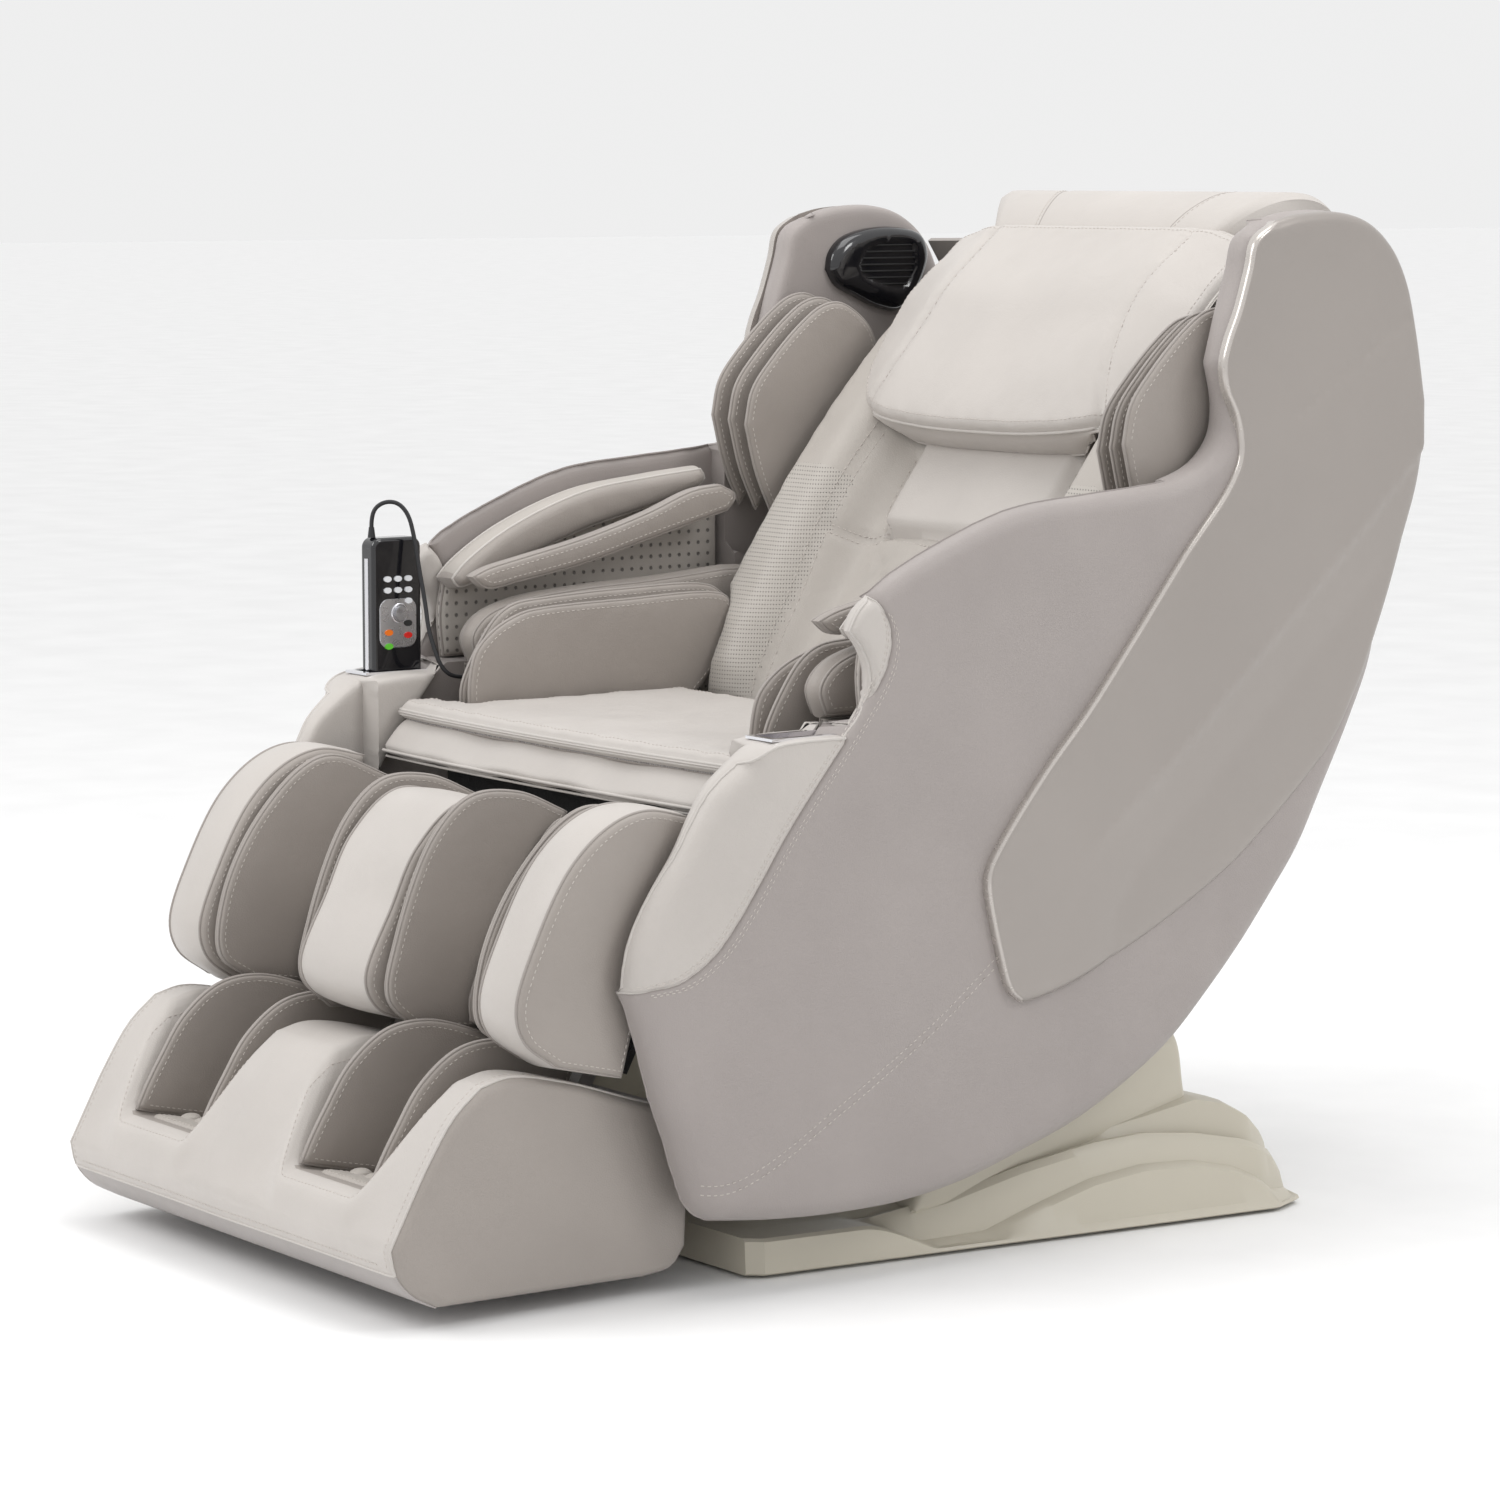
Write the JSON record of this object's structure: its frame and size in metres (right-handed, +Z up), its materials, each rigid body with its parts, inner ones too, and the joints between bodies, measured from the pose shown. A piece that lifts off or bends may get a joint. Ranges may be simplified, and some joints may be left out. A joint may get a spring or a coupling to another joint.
{
  "type": "massage chair",
  "caption": "Reclining massage chair on a sled base, with padded arm channels, calf and foot wells, a head pillow and a corded handset in an arm slot.",
  "frame": {"origin": "on the floor, under the middle of the chair's outer box", "axes": "+Z up, -Y towards the front where the feet go, +X towards the sitter's left-hand arm seen from the front at the right"},
  "size_m": [0.9, 1.3046, 1.1318],
  "materials": {
    "beige_plastic": "satin moulded",
    "taupe_plastic": "satin metallic paint",
    "black_plastic": "fine texture",
    "gloss_black": "gloss",
    "silver_plastic": "satin silver",
    "white_button": "gloss",
    "orange_button": "gloss",
    "green_button": "gloss",
    "red_button": "gloss",
    "roller_plastic": "smooth",
    "black_steel": "powder coat",
    "bright_steel": "ground",
    "chrome_trim": "polished",
    "rubber": "moulded",
    "black_rubber": "satin",
    "panel_leather": "fine grain synthetic leather",
    "taupe_leather": "soft grain synthetic leather",
    "light_leather": "soft grain synthetic leather",
    "dark_fabric": "woven"
  },
  "bodies": {
    "base": {"base_cover": "beige_plastic", "pivot_posts": "black_steel", "pivot_pins": "bright_steel", "base_frame": "black_steel", "rubber_feet": "rubber", "power_inlet": "black_plastic", "control_box": "black_plastic"},
    "power_rocker": {"power_switch": "black_plastic"},
    "actuator_body": {"tilt_motor": "black_plastic"},
    "actuator_rod": {"tilt_rod": "bright_steel"},
    "recliner": {"seat_frame": "black_steel", "back_frame": "black_steel", "side_panel_r": "panel_leather", "side_panel_l": "panel_leather", "hard_cover_r": "taupe_plastic", "hard_cover_l": "taupe_plastic", "arm_front_pads": "light_leather", "slot_cups": "chrome_trim", "armrest_pads": "panel_leather", "arm_airbags": "panel_leather", "hip_flaps": "taupe_leather", "seat_cushion": "light_leather", "seat_cover": "light_leather", "front_skirt": "light_leather", "back_pad": "light_leather", "top_pad": "light_leather", "shoulder_flaps": "taupe_leather", "speakers": "gloss_black", "rear_shell": "taupe_plastic", "cord_gland": "black_rubber"},
    "pillow": {"head_pillow": "light_leather"},
    "carriage": {"massage_carriage": "black_steel"},
    "rollers_low": {"lower_rollers": "roller_plastic"},
    "rollers_high": {"upper_rollers": "roller_plastic"},
    "legrest": {"legrest_frame": "black_steel", "legrest_shell": "dark_fabric", "calf_side_pads": "taupe_leather", "calf_flaps": "taupe_leather", "calf_pads": "taupe_leather", "calf_divider": "light_leather"},
    "footrest": {"footrest_shell": "panel_leather", "footrest_face": "light_leather", "foot_flaps": "taupe_leather", "slide_tubes": "bright_steel"},
    "handset": {"handset_case": "gloss_black", "handset_cord": "black_rubber", "cord_boot": "black_rubber"},
    "knob": {"handset_knob": "silver_plastic"},
    "button_white_1_key": {"button_white_1": "white_button"},
    "button_white_2_key": {"button_white_2": "white_button"},
    "button_white_3_key": {"button_white_3": "white_button"},
    "button_white_4_key": {"button_white_4": "white_button"},
    "button_white_5_key": {"button_white_5": "white_button"},
    "button_white_6_key": {"button_white_6": "white_button"},
    "button_white_7_key": {"button_white_7": "white_button"},
    "button_orange_key": {"button_orange": "orange_button"},
    "button_green_key": {"button_green": "green_button"},
    "button_red_key": {"button_red": "red_button"},
    "button_dark_key": {"button_dark": "gloss_black"}
  },
  "joints": [
    {"name": "recline", "type": "hinge", "parent": "base", "child": "recliner", "pos_m": [0, 0.2, 0.285], "axis": [-1, 0, 0], "range_deg": [0, 25]},
    {"name": "actuator_swing", "type": "hinge", "parent": "base", "child": "actuator_body", "pos_m": [0, -0.06, 0.1], "axis": [-1, 0, 0], "range_deg": [0, 12]},
    {"name": "actuator_extend", "type": "slide", "parent": "actuator_body", "child": "actuator_rod", "axis": [0, 0, 1], "range_m": [0, 0.12]},
    {"name": "legrest_swing", "type": "hinge", "parent": "recliner", "child": "legrest", "pos_m": [0, -0.28, 0.455], "axis": [-1, 0, 0], "range_deg": [0, 60]},
    {"name": "footrest_extend", "type": "slide", "parent": "legrest", "child": "footrest", "axis": [0, -0.4695, -0.8829], "range_m": [0, 0.1]},
    {"name": "pillow_flip", "type": "hinge", "parent": "recliner", "child": "pillow", "pos_m": [0, 0.54, 1.092], "axis": [-1, 0, 0], "range_deg": [0, 70]},
    {"name": "carriage_travel", "type": "slide", "parent": "recliner", "child": "carriage", "axis": [0, 0.5736, 0.8192], "range_m": [0, 0.38]},
    {"name": "lower_rollers_turn", "type": "hinge", "parent": "carriage", "child": "rollers_low", "pos_m": [0, 0.29451, 0.53612], "axis": [1, 0, 0], "continuous": true},
    {"name": "upper_rollers_turn", "type": "hinge", "parent": "carriage", "child": "rollers_high", "pos_m": [0, 0.33811, 0.59838], "axis": [1, 0, 0], "continuous": true},
    {"name": "handset_lift", "type": "slide", "parent": "recliner", "child": "handset", "axis": [0, 0, 1], "range_m": [0, 0.12]},
    {"name": "knob_turn", "type": "hinge", "parent": "handset", "child": "knob", "pos_m": [-0.3785, -0.179, 0.647], "axis": [1, 0, 0], "continuous": true},
    {"name": "power_rock", "type": "hinge", "parent": "base", "child": "power_rocker", "pos_m": [-0.011, 0.512, 0.035], "axis": [1, 0, 0], "range_deg": [-6, 6]},
    {"name": "button_white_1_press", "type": "slide", "parent": "handset", "child": "button_white_1_key", "axis": [-1, 0, 0], "range_m": [0, 0.001], "stiffness_N_per_m": 600},
    {"name": "button_white_2_press", "type": "slide", "parent": "handset", "child": "button_white_2_key", "axis": [-1, 0, 0], "range_m": [0, 0.001], "stiffness_N_per_m": 600},
    {"name": "button_white_3_press", "type": "slide", "parent": "handset", "child": "button_white_3_key", "axis": [-1, 0, 0], "range_m": [0, 0.001], "stiffness_N_per_m": 600},
    {"name": "button_white_4_press", "type": "slide", "parent": "handset", "child": "button_white_4_key", "axis": [-1, 0, 0], "range_m": [0, 0.001], "stiffness_N_per_m": 600},
    {"name": "button_white_5_press", "type": "slide", "parent": "handset", "child": "button_white_5_key", "axis": [-1, 0, 0], "range_m": [0, 0.001], "stiffness_N_per_m": 600},
    {"name": "button_white_6_press", "type": "slide", "parent": "handset", "child": "button_white_6_key", "axis": [-1, 0, 0], "range_m": [0, 0.001], "stiffness_N_per_m": 600},
    {"name": "button_white_7_press", "type": "slide", "parent": "handset", "child": "button_white_7_key", "axis": [-1, 0, 0], "range_m": [0, 0.001], "stiffness_N_per_m": 600},
    {"name": "button_orange_press", "type": "slide", "parent": "handset", "child": "button_orange_key", "axis": [-1, 0, 0], "range_m": [0, 0.001], "stiffness_N_per_m": 600},
    {"name": "button_green_press", "type": "slide", "parent": "handset", "child": "button_green_key", "axis": [-1, 0, 0], "range_m": [0, 0.001], "stiffness_N_per_m": 600},
    {"name": "button_red_press", "type": "slide", "parent": "handset", "child": "button_red_key", "axis": [-1, 0, 0], "range_m": [0, 0.001], "stiffness_N_per_m": 600},
    {"name": "button_dark_press", "type": "slide", "parent": "handset", "child": "button_dark_key", "axis": [-1, 0, 0], "range_m": [0, 0.001], "stiffness_N_per_m": 600}
  ],
  "couplings": [
    {"joint": "actuator_swing", "follows": "recline", "ratio": 0.3764},
    {"joint": "actuator_extend", "follows": "recline", "m_per_rad": 0.2443},
    {"joint": "footrest_extend", "follows": "legrest_swing", "m_per_rad": 0.0955}
  ]
}
